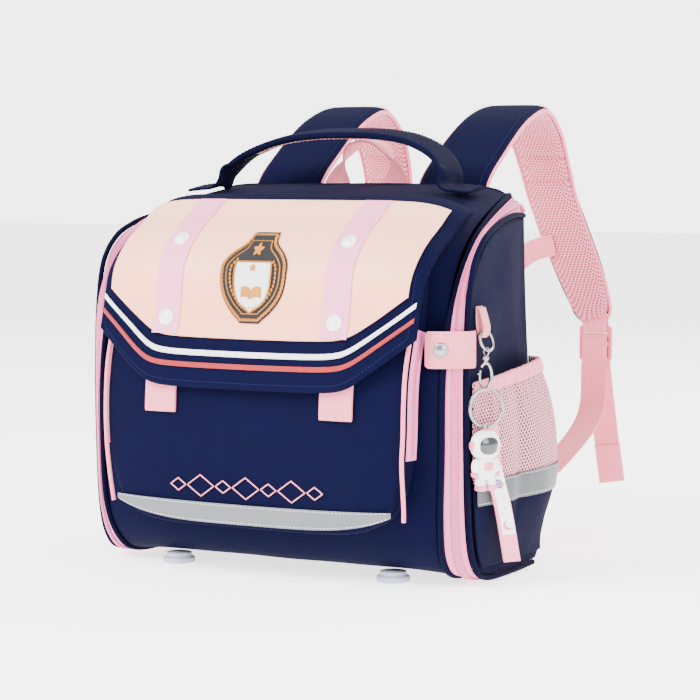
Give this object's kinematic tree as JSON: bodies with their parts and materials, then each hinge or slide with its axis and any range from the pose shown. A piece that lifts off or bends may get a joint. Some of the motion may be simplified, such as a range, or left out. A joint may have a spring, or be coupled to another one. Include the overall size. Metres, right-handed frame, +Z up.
{
  "type": "child's school ransel",
  "caption": "Child's stiff school backpack in navy with a peach flap, pink zips and trim, mesh side pockets, padded straps and a key-ring charm.",
  "frame": {"origin": "centre of the bounding box, on the floor under the feet", "axes": "+Z up, front pocket and flap towards -Y, shoulder straps towards +Y, wearer's right at +X"},
  "size_m": [0.4092, 0.4258, 0.3976],
  "materials": {
    "navy_cloth": "fine ribbed polyester",
    "navy_trim": "woven binding",
    "peach_leather": "smooth coated, pale peach",
    "pink_ribbon": "satin ribbon",
    "pink_webbing": "ribbed webbing",
    "pink_trim": "woven piping",
    "zip_tape": "zip tape with nylon coil",
    "air_mesh": "open air mesh",
    "silver_tape": "reflective tape",
    "grey_tape": "reflective tape",
    "white_cord": "woven stripe",
    "red_cord": "woven stripe",
    "snap_plastic": "pearly white",
    "black_patch": "felt with stitched edge",
    "gold_thread": "embroidered",
    "steel": "polished",
    "charm_rubber": "moulded, white",
    "pink_plastic": "moulded",
    "foot_plastic": "moulded, matt"
  },
  "bodies": {
    "bag": {"body_wrap": "navy_cloth", "back_panel": "navy_cloth", "back_pad": "air_mesh", "side_panel_right": "navy_cloth", "side_panel_left": "navy_cloth", "zip_band_right": "zip_tape", "zip_band_left": "zip_tape", "piping_front_right": "navy_trim", "piping_front_left": "navy_trim", "piping_side_right": "navy_trim", "piping_side_left": "navy_trim", "pocket": "navy_cloth", "pocket_piping_right": "pink_trim", "pocket_piping_left": "pink_trim", "pocket_zip_right": "zip_tape", "pocket_zip_left": "zip_tape", "reflector_front": "silver_tape", "flap": "navy_cloth", "flap_panel": "peach_leather", "flap_stripe_white": "white_cord", "flap_stripe_red": "red_cord", "flap_strap_right": "pink_ribbon", "flap_strap_left": "pink_ribbon", "snap_cap_upper_right": "snap_plastic", "snap_cap_upper_left": "snap_plastic", "snap_cap_lower_right": "snap_plastic", "snap_cap_lower_left": "snap_plastic", "crest_patch": "black_patch", "crest_emblem": "gold_thread", "pull_tab_right": "pink_webbing", "pull_tab_left": "pink_webbing", "side_pocket_right": "air_mesh", "side_pocket_left": "air_mesh", "side_pocket_binding_right": "pink_trim", "side_pocket_binding_left": "pink_trim", "side_reflector_right": "grey_tape", "side_reflector_left": "grey_tape", "snap_tab": "pink_webbing", "tab_button": "steel", "dring_loop": "pink_webbing", "dring": "steel", "clasp": "steel", "key_ring": "steel", "charm_figure": "charm_rubber", "charm_tag": "pink_webbing", "carry_handle": "navy_trim", "hang_loop": "pink_webbing", "shoulder_strap_right": "navy_cloth", "shoulder_strap_left": "navy_cloth", "ladder_lock_right": "pink_plastic", "ladder_lock_left": "pink_plastic", "strap_web_right": "pink_webbing", "strap_web_left": "pink_webbing", "chest_strap": "pink_webbing", "chest_buckle": "pink_plastic", "foot_front_right": "foot_plastic", "foot_front_left": "foot_plastic", "foot_rear_right": "foot_plastic", "foot_rear_left": "foot_plastic"},
    "gate": {"clasp_gate": "steel"}
  },
  "joints": [
    {"name": "gate_hinge", "type": "hinge", "parent": "bag", "child": "gate", "pos_m": [0.18486, -0.14305, 0.16857], "axis": [-0.866, 0.5, 0], "range_deg": [0, 25]}
  ]
}
